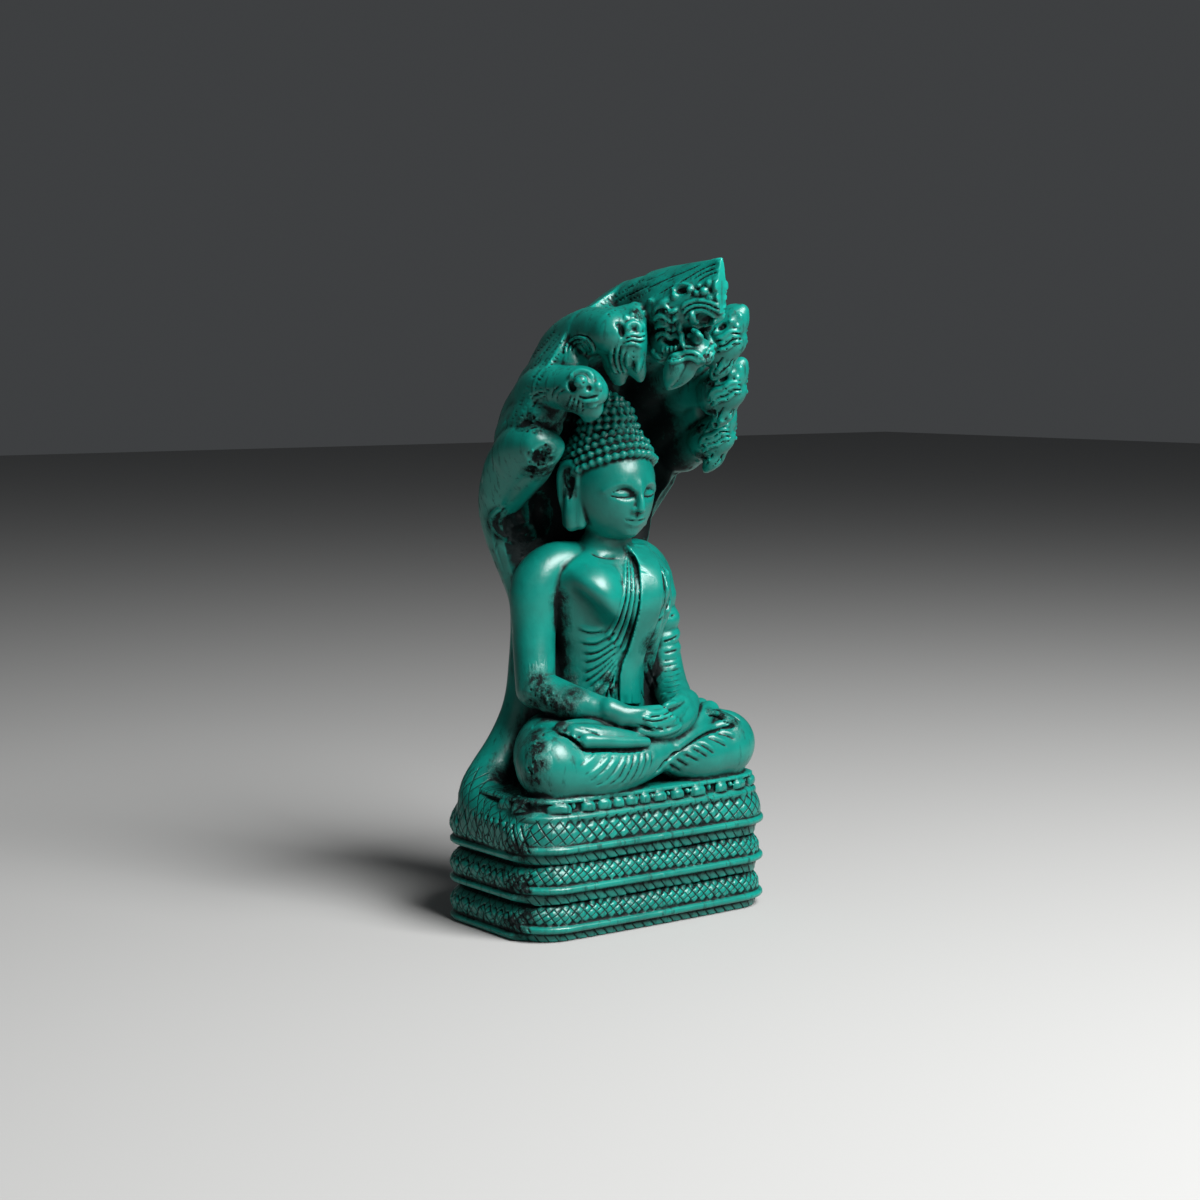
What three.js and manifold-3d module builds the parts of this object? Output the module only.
// A seated figure in meditation, sheltered by the hood of a seven-headed serpent whose three coils
// are its plinth. Figure, serpent and plinth are one small casting, so they are one closed solid.
// Millimetres. +Z is up, the figure faces -Y, and the origin is the middle of the flat underside.

import * as THREE from "three";
import { mergeVertices } from "three/addons/utils/BufferGeometryUtils.js";
import Module from "manifold-3d";

const wasm = await Module();
wasm.setup();

// Driving dimensions.
const PLINTH_HALF_WIDTH = 29.3;
const PLINTH_HALF_DEPTH = 16.6;
const PLINTH_CORNER = 8; // radius of the plan's corners
const PLINTH_BOW = 0.7; // how far the front bulges between its corners
const COIL_COUNT = 3;
const COIL_PITCH = 7.6;
const SEAT_TOP = 25.4;
const SEAT_HALF_WIDTH = 25.2;
const SEAT_FRONT = -15.4;
const SEAT_BACK = 9;
const KNEE = { across: 20.3, front: -9.4, height: 31.4, radius: 6.4 };
const SHOULDER = { across: 13.8, front: 4.2, height: 62.4 };
const ELBOW = { across: 15.9, front: 1.4, height: 43.8 };
const WRIST = { across: 7.2, front: -13.2, height: 39.6 };
const HEAD = { front: -0.9, height: 82.4, halfWidth: 7.5, halfDepth: 8.3 };
const SKULL_TOP = 93.4;
const HAIRLINE = 86.2;
const CHIN = 72.4;
const SEAM_REACH = 0.11; // how far a facet may move where seams are tidied
const NECK_COUNT = 7; // the middle one and three on each side

const MATERIAL = new THREE.MeshStandardMaterial({ color: 0x0c9c84, roughness: 0.38, metalness: 0 });

const point = (x, y, z) => new THREE.Vector3(x, y, z);
const mix = THREE.MathUtils.lerp;
const bell = (x, width) => Math.exp(-((x / width) ** 2));

// Geometry helpers.

const geometryOf = (points, faces) => new THREE.BufferGeometry().setFromPoints(points).setIndex(faces);

// A closed skin over rings of points, each ring with the same count, with a fan over each end.
function loft(rings) {
  const count = rings[0].length;
  const points = rings.flat();
  const faces = [];
  for (let r = 0; r + 1 < rings.length; r++) {
    for (let j = 0; j < count; j++) {
      const a = r * count + j;
      const b = r * count + ((j + 1) % count);
      faces.push(a, b, b + count, a, b + count, a + count);
    }
  }
  const middle = (ring) => ring.reduce((sum, p) => sum.add(p), point(0, 0, 0)).divideScalar(count);
  const start = points.push(middle(rings[0])) - 1;
  const end = points.push(middle(rings.at(-1))) - 1;
  const last = (rings.length - 1) * count;
  for (let j = 0; j < count; j++) {
    const next = (j + 1) % count;
    faces.push(start, next, j, end, last + j, last + next);
  }
  return geometryOf(points, faces);
}

// A sheet with thickness: two grids of the same size, closed by a wall along their four edges.
function sheet(outer, inner) {
  const columns = outer.length;
  const rows = outer[0].length;
  const under = columns * rows;
  const at = (i, k) => i * rows + k;
  const faces = [];
  const quad = (a, b, c, d) => faces.push(a, b, c, a, c, d);
  for (let i = 0; i + 1 < columns; i++) {
    for (let k = 0; k + 1 < rows; k++) {
      const [a, b, c, d] = [at(i, k), at(i + 1, k), at(i + 1, k + 1), at(i, k + 1)];
      quad(a, b, c, d);
      quad(under + a, under + d, under + c, under + b);
    }
    for (const [a, b] of [[at(i + 1, 0), at(i, 0)], [at(i, rows - 1), at(i + 1, rows - 1)]]) {
      quad(a, b, under + b, under + a);
    }
  }
  for (let k = 0; k + 1 < rows; k++) {
    for (const [a, b] of [[at(0, k), at(0, k + 1)], [at(columns - 1, k + 1), at(columns - 1, k)]]) {
      quad(a, b, under + b, under + a);
    }
  }
  return geometryOf([...outer.flat(), ...inner.flat()], faces);
}

// A geometry as a solid, turned to face out.
function solid(geometry) {
  const bare = geometry.clone();
  bare.deleteAttribute("normal");
  bare.deleteAttribute("uv");
  const merged = mergeVertices(bare, 1e-4);
  const vertProperties = merged.attributes.position.array;
  const triVerts = new Uint32Array(merged.index.array);
  const build = () => new wasm.Manifold(new wasm.Mesh({ numProp: 3, vertProperties, triVerts }));
  const made = build();
  if (made.volume() > 0) return made;
  for (let i = 0; i < triVerts.length; i += 3) {
    [triVerts[i + 1], triVerts[i + 2]] = [triVerts[i + 2], triVerts[i + 1]];
  }
  return build();
}

// Draws together the slivers that joins leave along their seams, and merges nearly level facets:
// a corner slides into its neighbour wherever no face beside it moves by more than reach.
function thin({ vertProperties, triVerts }, reach) {
  const spots = Array.from({ length: vertProperties.length / 3 }, (_, v) => point(...vertProperties.slice(3 * v, 3 * v + 3)));
  const faces = Array.from({ length: triVerts.length / 3 }, (_, f) => [...triVerts.slice(3 * f, 3 * f + 3)]);
  const facesAt = spots.map(() => new Set());
  faces.forEach((face, f) => face.forEach((v) => facesAt[v].add(f)));
  const moved = spots.map(() => 0);
  const plane = new THREE.Vector3();
  const span = new THREE.Vector3();
  const normalOf = ([a, b, c], target) => {
    target.subVectors(spots[b], spots[a]);
    return target.cross(span.subVectors(spots[c], spots[a])).clone();
  };
  const around = (v) => new Set([...facesAt[v]].flatMap((f) => faces[f]).filter((other) => other !== v));
  const cost = (from, to) => {
    let most = 0;
    const step = spots[to].clone().sub(spots[from]);
    for (const f of facesAt[from]) {
      const before = normalOf(faces[f], plane);
      const size = before.length();
      if (faces[f].includes(to)) continue;
      const after = normalOf(faces[f].map((v) => (v === from ? to : v)), plane);
      if (after.length() < 1e-3) return Infinity;
      if (size < 1e-4) continue;
      if (after.dot(before) < 0.5 * after.length() * size) return Infinity;
      most = Math.max(most, Math.abs(before.dot(step)) / size);
    }
    return most + moved[from];
  };
  for (let pass = 0; pass < 12; pass++) {
    const moves = [];
    facesAt.forEach((own, from) => {
      if (!own.size) return;
      for (const to of around(from)) moves.push([cost(from, to), from, to]);
    });
    const order = moves.filter(([c]) => c < reach).sort((a, b) => a[0] - b[0]);
    let done = 0;
    for (const [, from, to] of order) {
      if (!facesAt[from].size || !facesAt[to].size) continue;
      const near = around(from);
      if (!near.has(to) || [...around(to)].filter((v) => near.has(v)).length !== 2) continue;
      const now = cost(from, to);
      if (now >= reach) continue;
      for (const f of facesAt[from]) {
        if (faces[f].includes(to)) {
          for (const v of faces[f]) if (v !== from) facesAt[v].delete(f);
          faces[f] = null;
        } else {
          faces[f] = faces[f].map((v) => (v === from ? to : v));
          facesAt[to].add(f);
        }
      }
      facesAt[from] = new Set();
      moved[to] = Math.max(moved[to], now);
      done++;
    }
    if (!done) break;
  }
  const kept = faces.filter(Boolean);
  const places = new Map([...new Set(kept.flat())].map((v, k) => [v, k]));
  return geometryOf([...places.keys()].map((v) => spots[v]), kept.flat().map((v) => places.get(v)));
}

const fuse = (solids) => solids.reduce((whole, piece) => whole.add(piece));

// A piece and its twin on the other side of the figure.
const bothSides = (geometry) => [solid(geometry), solid(geometry.clone().scale(-1, 1, 1))];

// A limb: stations of [x, y, z, radius] joined by a smooth tube with rounded ends.
// flat squeezes it along the given direction to the share keep.
function limb(stations, { sides = 9, steps = 7, flat = null, keep = 1 } = {}) {
  const curve = new THREE.CatmullRomCurve3(stations.map(([x, y, z]) => point(x, y, z)));
  const frames = curve.computeFrenetFrames(steps);
  const spans = stations.length - 1;
  const radiusAt = (t) => {
    const s = Math.min(t * spans, spans - 1e-6);
    const k = Math.floor(s);
    return mix(stations[k][3], stations[k + 1][3], s - k);
  };
  const ring = (centre, k, radius) =>
    Array.from({ length: sides }, (_, j) => {
      const angle = (j / sides) * 2 * Math.PI;
      const out = frames.normals[k].clone().multiplyScalar(Math.cos(angle) * radius);
      out.addScaledVector(frames.binormals[k], Math.sin(angle) * radius);
      if (flat) out.addScaledVector(flat, -(1 - keep) * out.dot(flat));
      return centre.clone().add(out);
    });
  const centreAt = (t) => curve.getPoint(t);
  const cap = (k, t, way, share) => {
    const r = radiusAt(t);
    const reach = way * Math.sqrt(1 - share * share) * r * keep;
    return ring(centreAt(t).addScaledVector(frames.tangents[k], reach), k, r * share);
  };
  // the frames are spaced evenly along the curve, so the rings are too
  const shares = Array.from({ length: steps + 1 }, (_, k) => curve.getUtoTmapping(k / steps));
  const rings = shares.map((t, k) => ring(centreAt(t), k, radiusAt(t)));
  return loft([cap(0, 0, -1, 0.45), cap(0, 0, -1, 0.85), ...rings, cap(steps, 1, 1, 0.85), cap(steps, 1, 1, 0.45)]);
}

// A fold lying round a limb: it runs from one share of the limb's length to another while it turns
// about the limb, with the angle counted from the top towards the front.
function foldRound(stations, [fromShare, toShare], [fromAngle, toAngle], radius) {
  const curve = new THREE.CatmullRomCurve3(stations.map(([x, y, z]) => point(x, y, z)));
  const path = [0, 0.33, 0.67, 1].map((s) => {
    const share = mix(fromShare, toShare, s);
    const angle = (mix(fromAngle, toAngle, s) * Math.PI) / 180;
    const along = curve.getTangent(share);
    const front = point(0, 0, 1).cross(along).normalize();
    if (front.y > 0) front.negate();
    const top = front.clone().cross(along).normalize();
    if (top.z < 0) top.negate();
    const place = share * (stations.length - 1);
    const k = Math.min(Math.floor(place), stations.length - 2);
    const out = mix(stations[k][3], stations[k + 1][3], place - k) - 0.15;
    const centre = curve.getPoint(share);
    centre.addScaledVector(top, Math.cos(angle) * out).addScaledVector(front, Math.sin(angle) * out);
    return [...centre.toArray(), s > 0 && s < 1 ? radius : radius * 0.5];
  });
  return solid(limb(path, { sides: 4, steps: 4 }));
}

function ellipsoid(centre, radii, across = 10, up = 7) {
  const ball = new THREE.SphereGeometry(1, across, up);
  ball.rotateX(Math.PI / 2);
  ball.scale(...radii);
  return ball.translate(...centre);
}

// Plinth: three coils, each a smooth bead between a sloping scaled flank and a set-back underside.

// The plan of the coils, drawn in by inset: a rounded rectangle with a slightly bowed front.
function plinthRing(inset, z) {
  const width = PLINTH_HALF_WIDTH - inset;
  const depth = PLINTH_HALF_DEPTH - inset;
  const radius = PLINTH_CORNER - inset;
  const steps = 5;
  const ring = [];
  for (let corner = 0; corner < 4; corner++) {
    const sideX = corner === 0 || corner === 3 ? 1 : -1;
    const sideY = corner < 2 ? 1 : -1;
    for (let k = 0; k <= steps; k++) {
      const angle = ((corner + k / steps) * Math.PI) / 2;
      const x = sideX * (width - radius) + radius * Math.cos(angle);
      const y = sideY * (depth - radius) + radius * Math.sin(angle);
      ring.push(point(x, y, z));
    }
    if (corner === 2) ring.push(point(0, -depth, z));
  }
  return ring.map((p) => {
    const bow = p.y < 0 ? PLINTH_BOW * (1 - (p.x / PLINTH_HALF_WIDTH) ** 2) : 0;
    return p.setY(p.y - bow);
  });
}

// One coil's outline from its foot up, as [inset from the bead, height above the coil's foot].
const COIL_PROFILE = [
  [1.9, 0],
  [1.5, 1.7],
  [0.3, 2.1],
  [0, 2.75],
  [0.3, 3.4],
  [0.8, 3.7],
  [1.1, 5.6],
  [2.7, 7.3],
];

function plinth() {
  const rings = [];
  for (let coil = 0; coil < COIL_COUNT; coil++) {
    for (const [inset, height] of COIL_PROFILE) rings.push(plinthRing(inset, coil * COIL_PITCH + height));
  }
  return solid(loft(rings));
}

// Seat: a thin cushion with a row of hanging lotus petals under its rim.

function seatRing(inset, z) {
  const steps = 26;
  const middle = (SEAT_FRONT + SEAT_BACK) / 2;
  const halfDepth = (SEAT_BACK - SEAT_FRONT) / 2 - inset;
  const squareness = 0.42; // exponent of a superellipse with well rounded corners
  return Array.from({ length: steps }, (_, k) => {
    const angle = (k / steps) * 2 * Math.PI;
    const c = Math.cos(angle);
    const s = Math.sin(angle);
    const x = (SEAT_HALF_WIDTH - inset) * Math.sign(c) * Math.abs(c) ** squareness;
    return point(x, middle + halfDepth * Math.sign(s) * Math.abs(s) ** squareness, z);
  });
}

function seat() {
  const levels = [
    [1.4, 21],
    [1, 24.1],
    [0.1, 24.4],
    [0, 25],
    [0.6, SEAT_TOP],
  ];
  return solid(loft(levels.map(([inset, z]) => seatRing(inset, z))));
}

function petals() {
  const outline = new THREE.CatmullRomCurve3(seatRing(1.1, 0), true);
  const count = 32;
  const made = [];
  for (let k = 0; k < count; k++) {
    const at = outline.getPointAt(k / count);
    if (at.y > 0) continue; // the back of the seat runs into the serpent's body
    const along = outline.getTangentAt(k / count);
    const petal = ellipsoid([0, 0, 0], [1.6, 1, 1.6], 5, 3);
    petal.rotateZ(Math.atan2(along.y, along.x));
    made.push(solid(petal.translate(at.x, at.y, 23)));
  }
  return made;
}

// Legs: crossed in full lotus, each foot sole up on the other thigh.

function legs() {
  const { across, front, height, radius } = KNEE;
  const thigh = [
    [7, 5, 32.5, 7.4],
    [14, -1.5, 32, 7.3],
    [across, front, height, radius],
  ];
  const backShin = [
    [across - 1, front - 1, height - 0.8, 5.6],
    [10, -11.6, 30.4, 4.9],
    [1, -10.5, 33, 3.6],
  ];
  const frontShin = [
    [-across + 1, front - 0.6, height - 1, 5.9],
    [-10, -11.8, 30, 5.4],
    [0, -12.3, 31.6, 4.3],
    [8, -11.6, 34, 3.2],
    [13, -10, 36, 2.5],
  ];
  const gathers = [];
  for (let k = 0; k < 5; k++) {
    const share = k / 4;
    gathers.push(foldRound(frontShin, [mix(0.36, 0.62, share), mix(0.16, 0.46, share)], [38, 118], 0.55));
    if (k < 4) gathers.push(foldRound(backShin, [mix(0.36, 0.8, share), mix(0.14, 0.5, share)], [38, 112], 0.6));
  }
  return [
    ...bothSides(limb(thigh, { steps: 5 })),
    solid(limb(backShin, { steps: 5 })),
    solid(limb(frontShin)),
    ...gathers,
  ];
}

// A row of digits side by side: a flat loft from root to tip whose upper side is ribbed.
// The ribs lie along the route, and spread is the width of the row at each station.
function digits(route, spread, thickness, count) {
  const curve = new THREE.CatmullRomCurve3(route);
  const up = point(0, 0, 1);
  const rings = spread.map((width, k) => {
    const t = k / (spread.length - 1);
    const along = curve.getTangent(t);
    const aside = along.clone().cross(up).normalize();
    const over = aside.clone().cross(along).normalize();
    const centre = curve.getPoint(t);
    const place = (share, high) =>
      centre.clone().addScaledVector(aside, (share - 0.5) * width).addScaledVector(over, high * thickness[k]);
    const top = [];
    for (let d = 0; d < count; d++) top.push(place((d + 0.12) / count, 0.25), place((d + 0.55) / count, 0.62));
    return [...top, place(1, 0), place(0.75, -0.45), place(0.25, -0.45), place(0, 0)];
  });
  return loft(rings);
}

// Feet: soles up, toes in a row.
function feet() {
  const left = [point(1.5, -13, 34.2), point(-6, -12.6, 36), point(-13, -11, 37.2), point(-17, -9.6, 37.2)];
  const right = [point(9, -11.6, 35.6), point(13, -10.6, 37), point(17.5, -8.6, 38), point(20.6, -7, 37.6)];
  const spread = [3.4, 4.6, 6, 4.8];
  const thickness = [3, 2.8, 2.6, 1.4];
  return [left, right].map((route) => solid(digits(route, spread, thickness, 5)));
}

// Torso: a narrow waist under a broad chest, drawn from level sections.
// Each section is [height, half width, half depth, middle of the depth].
const TORSO = [
  [28, 13, 9, 4.5],
  [36, 11.6, 8.6, 3.4],
  [43, 9.8, 8.4, 2.6],
  [50, 10.4, 8.8, 2],
  [56, 12, 9.5, 1.7],
  [61, 12.8, 9.3, 1.9],
  [65, 11.6, 8.2, 2.4],
  [68, 7.4, 6, 2],
  [70, 4.6, 4.7, 0.6],
  [76, 4.2, 4.5, -0.4],
];

function torsoAt(z) {
  const upper = Math.max(1, TORSO.findIndex(([height]) => height >= z));
  const [below, above] = [TORSO[upper - 1], TORSO[upper]];
  const share = (z - below[0]) / (above[0] - below[0]);
  return below.map((value, k) => mix(value, above[k], share));
}

// A point on the torso's skin, or raised off it, by its place across and its height.
function onTorso(x, z, raised = 0) {
  const [, halfWidth, halfDepth, middle] = torsoAt(z);
  const share = THREE.MathUtils.clamp(x / halfWidth, -0.98, 0.98);
  return point(x, middle - halfDepth * Math.sqrt(1 - share * share) - raised, z);
}

function torso() {
  const sides = 18;
  const ring = ([z, halfWidth, halfDepth, middle]) =>
    Array.from({ length: sides }, (_, k) => {
      const angle = (k / sides) * 2 * Math.PI;
      return point(halfWidth * Math.cos(angle), middle + halfDepth * Math.sin(angle), z);
    });
  const breast = ellipsoid([-5, 0.3, 60], [7.6, 7.6, 7], 12, 7);
  return [solid(loft(TORSO.map(ring))), solid(breast)];
}

// A rolled fold on the torso's front, through places given as [across, height].
function fold(places, radius, steps = 8) {
  const stations = places.map(([x, z]) => [...onTorso(x, z, 0).toArray(), radius]);
  return solid(limb(stations, { sides: 4, steps }));
}

// Robe: it leaves the figure's right shoulder bare. Rolled edges cross the chest and go under the
// right arm, folds fan out from the waist, and a folded sash hangs from the left shoulder.
function robe() {
  const made = [];
  for (let k = 0; k < 3; k++) {
    const edge = [
      [1.2 + k, 68.4],
      [1.6 + k, 62],
      [0.2 + k, 56 - 0.4 * k],
      [-4.6 + k, 52.4 - 0.9 * k],
      [-10 + 0.3 * k, 52 - 1.6 * k],
    ];
    made.push(fold(edge, 0.75));
  }
  const sashRows = [
    [67.6, 4.4, 8.6],
    [61, 4.6, 9.8],
    [55, 2.6, 7.6],
    [48, 0.2, 4.4],
    [41, -1.4, 2.4],
    [36.5, -1.8, 2.6],
  ];
  const sash = sashRows.map(([z, left, right]) => {
    const inner = [left, (left + right) / 2, right].map((x) => onTorso(x, z, -1));
    const outer = [right, (left + right) / 2, left].map((x) => onTorso(x, z, 1));
    return [...outer, ...inner];
  });
  made.push(solid(loft(sash)));
  const foldCount = 4;
  for (let k = 0; k < foldCount; k++) {
    const side = mix(48, 39, k / (foldCount - 1));
    const waist = mix(44.5, 36.5, k / (foldCount - 1));
    made.push(fold([[-9.2, side], [-6.2, mix(side, waist, 0.62)], [-2.4, waist]], 0.7, 4));
  }
  return made;
}

// Arms: the right one bare, the left one in a sleeve that falls in rings.

function arms() {
  const upper = [
    [4.5, 2.6, 67.2, 3.4],
    [10, 3.8, 66.2, 4.4],
    [SHOULDER.across, SHOULDER.front, SHOULDER.height, 4.7],
    [14.6, 3.7, 54, 4.1],
    [ELBOW.across, ELBOW.front, ELBOW.height, 3.7],
  ];
  const fore = [
    [ELBOW.across - 0.4, ELBOW.front - 0.6, ELBOW.height, 3.5],
    [12.6, -6.2, 41.4, 3.5],
    [WRIST.across, WRIST.front, WRIST.height, 2.3],
  ];
  const sleeve = upper.slice(0, 2).map(([x, y, z, radius]) => [x, y, z, radius - 0.2]);
  const rings = 12;
  for (let k = 0; k <= rings; k++) {
    const share = k / rings;
    const swell = (share < 0.65 ? 0.4 : 0.2) * (k % 2 ? 1 : -0.6);
    const bend = Math.sin(share * Math.PI);
    const x = mix(SHOULDER.across - 0.5, ELBOW.across - 0.9, share) - 0.4 * bend;
    const y = mix(SHOULDER.front, ELBOW.front, share) + 0.6 * bend;
    sleeve.push([x, y, mix(SHOULDER.height, ELBOW.height, share), mix(4.5, 3.6, share) + swell]);
  }
  const cuffed = [
    [ELBOW.across - 1.2, ELBOW.front - 0.4, ELBOW.height, 3.4],
    [11, -5.8, 41.8, 3.2],
    [WRIST.across, WRIST.front, WRIST.height, 2.3],
  ];
  const bare = [limb(upper, { steps: 9 }), limb(fore, { steps: 5 })].map((part) => part.scale(-1, 1, 1));
  return [...bare, limb(sleeve, { steps: 18 }), limb(cuffed, { steps: 5 })].map(solid);
}

// Hands: laid one on the other in the lap, palms up, thumb tips touching.
function hands() {
  const hand = (side, height) => {
    const route = [
      point(side * 8, -13.2, height + 1.2),
      point(side * 4, -14.2, height + 0.3),
      point(side * -1, -14.6, height),
      point(side * -5.6, -13.6, height + 0.9),
    ];
    return solid(digits(route, [3.8, 5.6, 5.8, 4], [3.6, 3, 2.4, 1.6], 4));
  };
  const thumb = limb(
    [
      [4.4, -13.4, 40.2, 1.1],
      [2, -13.4, 41, 0.95],
      [0.2, -13.8, 40.8, 0.8],
    ],
    { sides: 6, steps: 3 },
  );
  return [hand(-1, 38.8), hand(1, 36.8), ...bothSides(thumb)];
}

// Head: calm and plain, on the rule of equal thirds from hairline to brow, nose and chin.

const THIRD = (HAIRLINE - CHIN) / 3;
const BROW = HAIRLINE - THIRD;
const NOSE_FOOT = BROW - THIRD;
const MOUTH = NOSE_FOOT - THIRD / 3;
const EYE = BROW - 0.24 * THIRD;

// How far the face stands off the plain egg of the head, at a place across and up.
function faceRelief(x, z) {
  const side = Math.abs(x);
  const noseShare = THREE.MathUtils.clamp((BROW - z) / (BROW - NOSE_FOOT), 0, 1);
  const onNose = z < BROW + 0.8 && z > NOSE_FOOT - 0.4;
  const nose = onNose ? mix(0.35, 1.8, noseShare) * bell(x, mix(0.75, 1.3, noseShare)) : 0;
  const brow = 0.4 * bell(z - BROW + 0.06 * side * side, 0.6) * bell(side - 2.8, 2.6);
  const socket = -0.8 * bell(z - EYE + 0.1, 0.9) * bell(side - 2.7, 1.7);
  const lid = 0.65 * bell(z - EYE, 0.55) * bell(side - 2.8, 1.2);
  const lips = 0.7 * bell(x, 2) * (bell(z - MOUTH - 0.45, 0.4) + bell(z - MOUTH + 0.5, 0.45));
  const chin = 0.6 * bell(x, 1.8) * bell(z - CHIN - 1.2, 1.1);
  return nose + brow + socket + lid + lips + chin;
}

function face() {
  const rows = 21;
  const angles = [-48, -36, -28, -21, -15, -10, -5, 0, 5, 10, 15, 21, 28, 36, 48, 66, 88, 125, 180, 235, 272, 294];
  const rings = [];
  for (let k = 1; k < rows; k++) {
    const z = mix(CHIN - 0.6, SKULL_TOP - 4, k / rows);
    const above = z > HEAD.height;
    const height = (z - HEAD.height) / (above ? SKULL_TOP - HEAD.height : HEAD.height - CHIN + 0.6);
    const round = Math.sqrt(1 - Math.min(1, height * height));
    const halfWidth = HEAD.halfWidth * (above ? round : round ** 0.92);
    const middle = HEAD.front + (above ? 0 : -1.2 * height * height);
    const halfDepth = HEAD.halfDepth * (above ? round : round ** 0.75);
    rings.push(
      angles.map((degrees) => {
        const angle = (degrees * Math.PI) / 180;
        const x = halfWidth * Math.sin(angle);
        const relief = Math.cos(angle) > 0 ? faceRelief(x, z) * Math.cos(angle) : 0;
        return point(x, middle - halfDepth * Math.cos(angle) - relief, z);
      }),
    );
  }
  return solid(loft(rings));
}

function ears() {
  const shell = bothSides(ellipsoid([7.8, 0.4, 80], [1.1, 2, 6.8], 8, 7));
  const hollow = bothSides(ellipsoid([9.2, 0, 81.2], [0.8, 1, 4.2], 5, 4));
  return shell.map((ear, k) => ear.subtract(hollow[k]));
}

// A cap of small curls: rows of knobs over an ellipsoid whose axis leans back by tilt.
function curls({ centre, radii, tilt, columns, rows, reach, knob }) {
  const rings = [];
  const ringCount = rows * 2;
  for (let k = 0; k <= ringCount; k++) {
    const polar = mix(reach, 0.12, k / ringCount);
    rings.push(
      Array.from({ length: columns * 2 }, (_, j) => {
        const raised = k % 2 === 1 && (j + (k % 4 === 1 ? 0 : 1)) % 2 === 0 ? knob : 0;
        const angle = (j / (columns * 2)) * 2 * Math.PI;
        const out = point(Math.sin(polar) * Math.cos(angle), Math.sin(polar) * Math.sin(angle), Math.cos(polar));
        const scaled = out.clone().multiply(point(...radii)).addScaledVector(out, raised);
        return scaled.applyAxisAngle(point(1, 0, 0), -tilt).add(point(...centre));
      }),
    );
  }
  return solid(loft(rings));
}

function hair() {
  const cap = curls({
    centre: [0, HEAD.front + 0.7, HEAD.height + 1.4],
    radii: [7.9, 8.7, 9.4],
    tilt: -0.42,
    columns: 18,
    rows: 6,
    reach: 1.6,
    knob: 1,
  });
  const topknot = curls({
    centre: [0, HEAD.front + 0.9, 92.6],
    radii: [4.6, 4.8, 5.8],
    tilt: -0.05,
    columns: 10,
    rows: 4,
    reach: 1.5,
    knob: 0.9,
  });
  return [cap, topknot];
}

// Serpent: a flared body rises behind the figure and opens into a cupped hood of seven necks.

// The body's level sections, each [height, half width, middle of the depth, half depth].
const BODY = [
  [17, 27.6, 7.2, 8.4],
  [22.5, 28, 7.8, 8],
  [26, 26.4, 8.8, 7],
  [30.5, 22, 10.4, 5.7],
  [34.5, 19.4, 10.2, 6],
  [40, 16.9, 9.8, 6.4],
  [48, 15.6, 9.6, 6.6],
  [58, 15.1, 10, 6],
  [66, 16.2, 11.2, 4.4],
  [71.5, 18.2, 11.7, 3.2],
  [77, 18.8, 12, 2.2],
  [83, 15, 13, 0.8],
];

function body() {
  const sides = 18;
  const rings = BODY.map(([z, halfWidth, middle, halfDepth]) =>
    Array.from({ length: sides }, (_, k) => {
      const angle = (k / sides) * 2 * Math.PI;
      return point(halfWidth * Math.cos(angle), middle + halfDepth * Math.sin(angle), z);
    }),
  );
  return solid(loft(rings));
}

// Each neck's route on the figure's left side, from the middle one out, as stations of
// [x, y, z, radius], with its head's size and how far the head turns outward.
const NECKS = [
  {
    route: [[0, 10.4, 58, 3.6], [0, 12, 80, 5.2], [0, 9.4, 99, 5.4], [0, 2, 109, 5.4], [0, -9, 114, 5.4], [0, -19, 115.2, 5.2]],
    size: 1,
    turn: 0,
  },
  {
    route: [[3.6, 10.6, 58, 3.2], [6.4, 12, 82, 4.8], [8.3, 8.5, 98, 4.8], [9.6, 1, 106.2, 4.6], [10.8, -9, 109.6, 4.4], [11.6, -16.6, 109.6, 4]],
    size: 0.58,
    turn: 0.05,
  },
  {
    route: [[7.2, 11, 58, 2.8], [12.4, 11.6, 79, 4.6], [15, 7, 91.7, 4.6], [16.8, -1, 98.2, 4.4], [17.4, -7, 100.6, 4.1], [17, -12, 100.6, 3.8]],
    size: 0.52,
    turn: 0,
  },
  {
    route: [[10.6, 11.4, 58, 2.4], [16.6, 11.3, 74, 4], [18.8, 6.5, 83.4, 4.5], [19.6, 2, 87.4, 4.4], [20.2, -2, 89.8, 4.2], [20.4, -5, 90.6, 4]],
    size: 0.5,
    turn: 0,
  },
];

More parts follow.
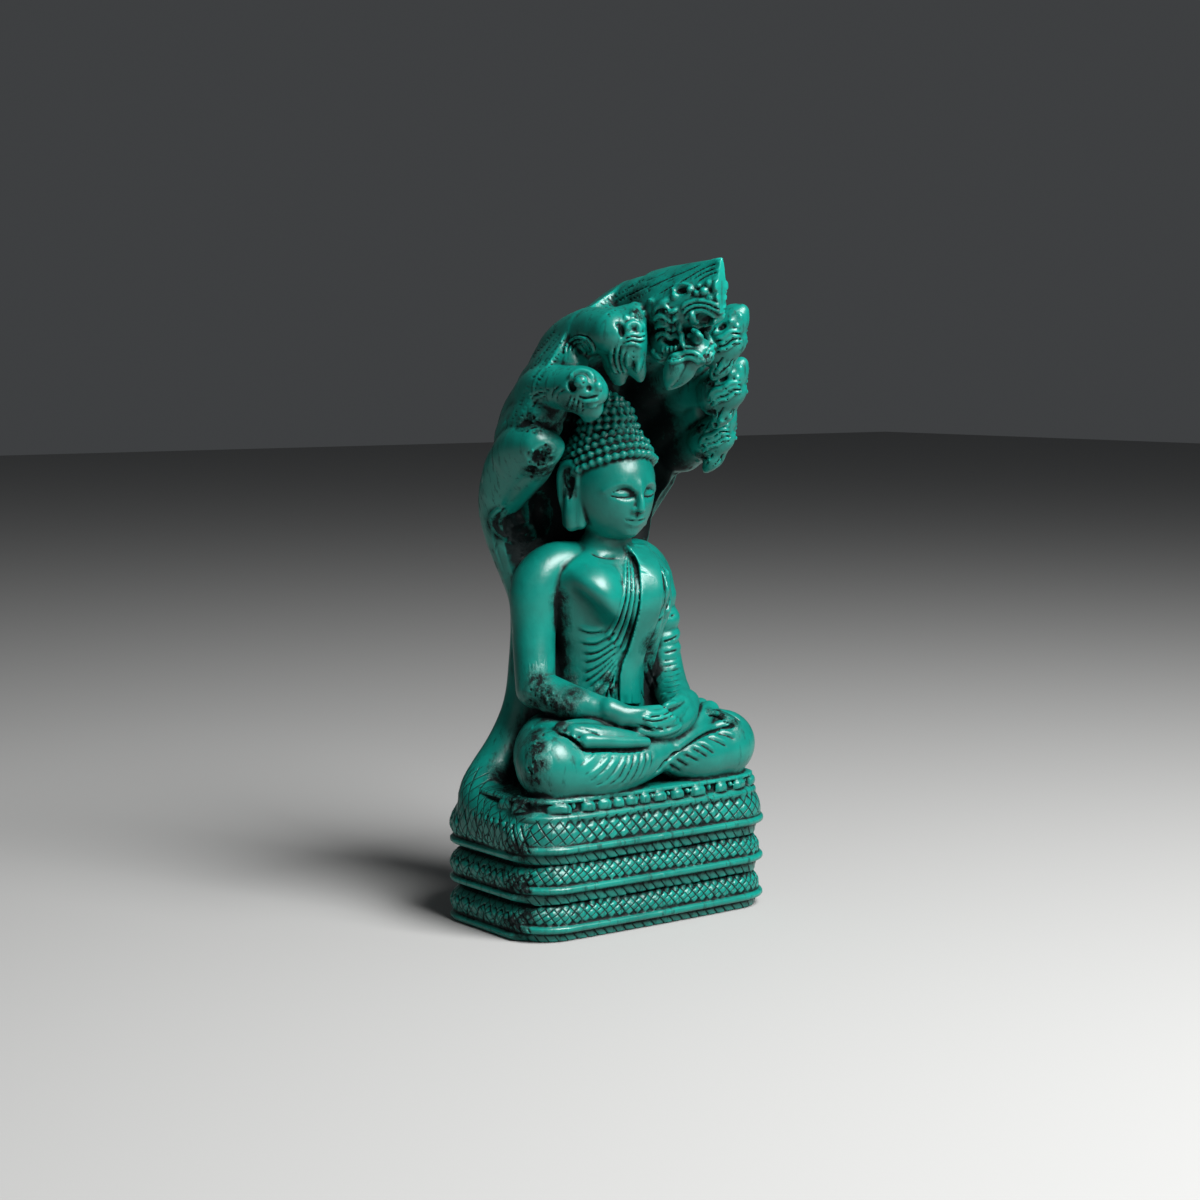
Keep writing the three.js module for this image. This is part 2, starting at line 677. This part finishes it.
// The hood: a cupped sheet whose outer side swells over each neck and dips between them.
function hood() {
  const rows = 11;
  const heart = point(0, -6, 84); // the middle of the hollow that the hood encloses
  const stations = NECKS.map(({ route }) => {
    const curve = new THREE.CatmullRomCurve3(route.map(([x, y, z]) => point(x, y, z)));
    return Array.from({ length: rows }, (_, k) => {
      const t = k / (rows - 1);
      const s = Math.min(t * (route.length - 1), route.length - 1.001);
      const radius = mix(route[Math.floor(s)][3], route[Math.floor(s) + 1][3], s % 1);
      return { centre: curve.getPoint(t), radius };
    });
  });
  const across = [];
  for (let n = -3; n <= 3; n++) {
    across.push(stations[Math.abs(n)].map(({ centre, radius }) => {
      return { centre: point(Math.sign(n) * centre.x, centre.y, centre.z), radius };
    }));
  }
  const frameAt = (i, k) => {
    const last = NECK_COUNT - 1;
    const over = across[Math.min(i + 1, last)][k].centre.clone().sub(across[Math.max(i - 1, 0)][k].centre);
    const up = across[i][Math.min(k + 1, rows - 1)].centre.clone().sub(across[i][Math.max(k - 1, 0)].centre);
    const out = over.clone().cross(up).normalize();
    if (out.dot(across[i][k].centre.clone().sub(heart)) < 0) out.negate();
    return { out, over: over.normalize() };
  };
  const outer = [];
  const inner = [];
  const column = (make) => Array.from({ length: rows }, (_, k) => make(k));
  for (let i = 0; i < NECK_COUNT; i++) {
    const place = (side, high) =>
      column((k) => {
        const { centre, radius } = across[i][k];
        const { out, over } = frameAt(i, k);
        return centre.clone().addScaledVector(over, side * radius).addScaledVector(out, high * radius);
      });
    const firstEdge = i === 0 ? -0.95 : -0.6;
    const lastEdge = i === NECK_COUNT - 1 ? 0.95 : 0.6;
    outer.push(place(firstEdge, i === 0 ? 0.1 : 0.72), place(0, 1), place(lastEdge, i === NECK_COUNT - 1 ? 0.1 : 0.72));
    inner.push(place(firstEdge * 0.8, -0.5), place(0, -0.62), place(lastEdge * 0.8, -0.5));
  }
  return solid(sheet(outer, inner));
}

// A serpent's head looking along -Y, with its origin where the neck ends: a roofed skull drawn up
// into a crest, eyes, an upper jaw over an open mouth, a lower jaw and a pointed beard.
// Each section of the skull is [y, half width, top, widest level, bottom].
const SKULL = [
  [4, 5.6, 5.8, 0, -4.5],
  [-3, 7.2, 6.8, -1, -5.6],
  [-8, 7.2, 7, -0.6, -4.2],
  [-11.6, 5, 7.3, 0.4, -2.2],
  [-14, 1.7, 7.4, 2.4, -0.8],
];

const fang = (side) => limb([[side * 2.8, -10.6, -2, 1.1], [side * 2.4, -9.6, -7, 0.3]], { sides: 4, steps: 1 });

function serpentHead({ size, turn }, [x, y, z]) {
  const skull = SKULL.map(([along, wide, top, level, bottom]) => {
    const right = [
      [0.5 * wide, mix(top, level, 0.42)],
      [wide, level],
      [0.62 * wide, bottom],
    ];
    const left = right.map(([a, b]) => [-a, b]).reverse();
    return [[0, top], ...right, ...left].map(([a, b]) => point(a, along, b));
  });
  const jaw = [
    [0, 1, -6.6, 4],
    [0, -3.4, -9, 3.6],
    [0, -6.6, -9.6, 2],
  ];
  const beard = [
    [0, -4.6, -10.2, 2.5],
    [0, -3.6, -12.4, 1.8],
    [0, -2.4, -14.6, 0.5],
  ];
  const parts = [
    loft(skull),
    limb(jaw, { sides: 7, steps: 2 }),
    limb(beard, { sides: 5, steps: 2 }),
    ...[-1, 1].map((side) => ellipsoid([side * 5.2, -7, 1.6], [1.6, 2, 1.7], 5, 3)),
    ...(size < 1 ? [] : [-1, 1]).map((side) => fang(side)),
  ];
  return parts.map((part) => part.scale(size, size, size).rotateZ(turn).translate(x, y, z));
}

function serpent() {
  const made = [body(), hood()];
  NECKS.forEach(({ route, ...head }, index) => {
    for (const piece of serpentHead(head, route.at(-1))) {
      made.push(...(index === 0 ? [solid(piece)] : bothSides(piece)));
    }
  });
  return made;
}

function casting() {
  const whole = fuse([
    plinth(),
    seat(),
    ...petals(),
    ...legs(),
    ...feet(),
    ...torso(),
    ...robe(),
    ...arms(),
    ...hands(),
    face(),
    ...ears(),
    ...hair(),
    ...serpent(),
  ]);
  // pockets shut inside where pieces overlap are filled, because the casting is solid
  const outside = whole.decompose().reduce((a, b) => (b.volume() > a.volume() ? b : a));
  return thin(outside.getMesh(), SEAM_REACH);
}

const figure = new THREE.Group();
const cast = new THREE.Mesh(casting(), MATERIAL);
cast.name = "figure_casting";
figure.add(cast);

export default figure;
